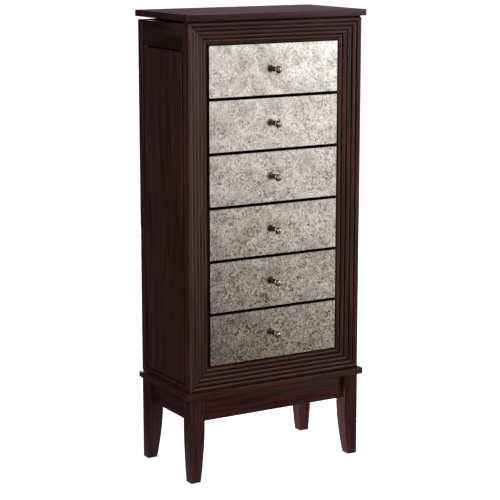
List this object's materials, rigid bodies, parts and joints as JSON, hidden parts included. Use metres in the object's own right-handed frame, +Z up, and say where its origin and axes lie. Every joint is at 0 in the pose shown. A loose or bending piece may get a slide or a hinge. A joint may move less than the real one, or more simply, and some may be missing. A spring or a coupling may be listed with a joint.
{
  "type": "jewellery chest",
  "caption": "Tall jewellery chest on four legs: mirror-fronted drawers in a stepped reeded frame, lift-up lid over a tray, and a side door to a necklace cupboard on each side.",
  "frame": {"origin": "centre of the bounding box on the floor, under the four feet", "axes": "+Z up; +X to the right seen from the front; the drawers face -Y"},
  "size_m": [0.453, 0.246, 1.016],
  "materials": {
    "espresso_wood": "satin",
    "inner_wood": "matte",
    "hardboard": "matte",
    "antique_mirror": "mottled",
    "clear_mirror": "polished",
    "pewter": "aged",
    "steel": "satin",
    "catch_plastic": "matte",
    "velvet": "matte"
  },
  "bodies": {
    "casing": {"frame_top": "espresso_wood", "frame_bottom": "espresso_wood", "frame_left": "espresso_wood", "frame_right": "espresso_wood", "front_post_left": "espresso_wood", "front_post_right": "espresso_wood", "rear_post_left": "espresso_wood", "rear_post_right": "espresso_wood", "tray_side_left": "espresso_wood", "tray_side_right": "espresso_wood", "rear_rail": "espresso_wood", "casing_floor": "espresso_wood", "plinth_board": "espresso_wood", "apron_front": "espresso_wood", "apron_rear": "espresso_wood", "apron_left": "espresso_wood", "apron_right": "espresso_wood", "leg_front_left": "espresso_wood", "leg_front_right": "espresso_wood", "leg_rear_left": "espresso_wood", "leg_rear_right": "espresso_wood", "tray_floor": "inner_wood", "partition_left": "inner_wood", "partition_right": "inner_wood", "back_panel": "hardboard", "lid_hinge_left_casing_leaf": "steel", "lid_hinge_right_casing_leaf": "steel", "door_pivot_left_top": "steel", "door_pivot_left_bottom": "steel", "door_pivot_right_top": "steel", "door_pivot_right_bottom": "steel", "door_catch_left": "catch_plastic", "door_catch_right": "catch_plastic", "ring_cushion": "velvet"},
    "lid": {"lid": "espresso_wood", "lid_mirror": "clear_mirror", "lid_hinge_left_lid_leaf": "steel", "lid_hinge_right_lid_leaf": "steel"},
    "side_door_left": {"side_door_left": "espresso_wood", "necklace_pegs_left": "pewter"},
    "side_door_right": {"side_door_right": "espresso_wood", "necklace_pegs_right": "pewter"},
    "drawer_1": {"drawer_1_box": "inner_wood", "drawer_1_mirror": "antique_mirror", "drawer_1_knob": "pewter"},
    "drawer_2": {"drawer_2_box": "inner_wood", "drawer_2_mirror": "antique_mirror", "drawer_2_knob": "pewter"},
    "drawer_3": {"drawer_3_box": "inner_wood", "drawer_3_mirror": "antique_mirror", "drawer_3_knob": "pewter"},
    "drawer_4": {"drawer_4_box": "inner_wood", "drawer_4_mirror": "antique_mirror", "drawer_4_knob": "pewter"},
    "drawer_5": {"drawer_5_box": "inner_wood", "drawer_5_mirror": "antique_mirror", "drawer_5_knob": "pewter"},
    "drawer_6": {"drawer_6_box": "inner_wood", "drawer_6_mirror": "antique_mirror", "drawer_6_knob": "pewter"}
  },
  "joints": [
    {"name": "lid_hinge", "type": "hinge", "parent": "casing", "child": "lid", "pos_m": [0, 0.12005, 0.99875], "axis": [-1, 0, 0], "range_deg": [0, 100]},
    {"name": "side_door_left_hinge", "type": "hinge", "parent": "casing", "child": "side_door_left", "pos_m": [-0.211, 0.09105, 0.578], "axis": [0, 0, -1], "range_deg": [0, 95]},
    {"name": "side_door_right_hinge", "type": "hinge", "parent": "casing", "child": "side_door_right", "pos_m": [0.211, 0.09105, 0.578], "axis": [0, 0, 1], "range_deg": [0, 95]},
    {"name": "drawer_1_slide", "type": "slide", "parent": "casing", "child": "drawer_1", "axis": [0, -1, 0], "range_m": [0, 0.15]},
    {"name": "drawer_2_slide", "type": "slide", "parent": "casing", "child": "drawer_2", "axis": [0, -1, 0], "range_m": [0, 0.15]},
    {"name": "drawer_3_slide", "type": "slide", "parent": "casing", "child": "drawer_3", "axis": [0, -1, 0], "range_m": [0, 0.15]},
    {"name": "drawer_4_slide", "type": "slide", "parent": "casing", "child": "drawer_4", "axis": [0, -1, 0], "range_m": [0, 0.15]},
    {"name": "drawer_5_slide", "type": "slide", "parent": "casing", "child": "drawer_5", "axis": [0, -1, 0], "range_m": [0, 0.15]},
    {"name": "drawer_6_slide", "type": "slide", "parent": "casing", "child": "drawer_6", "axis": [0, -1, 0], "range_m": [0, 0.15]}
  ]
}
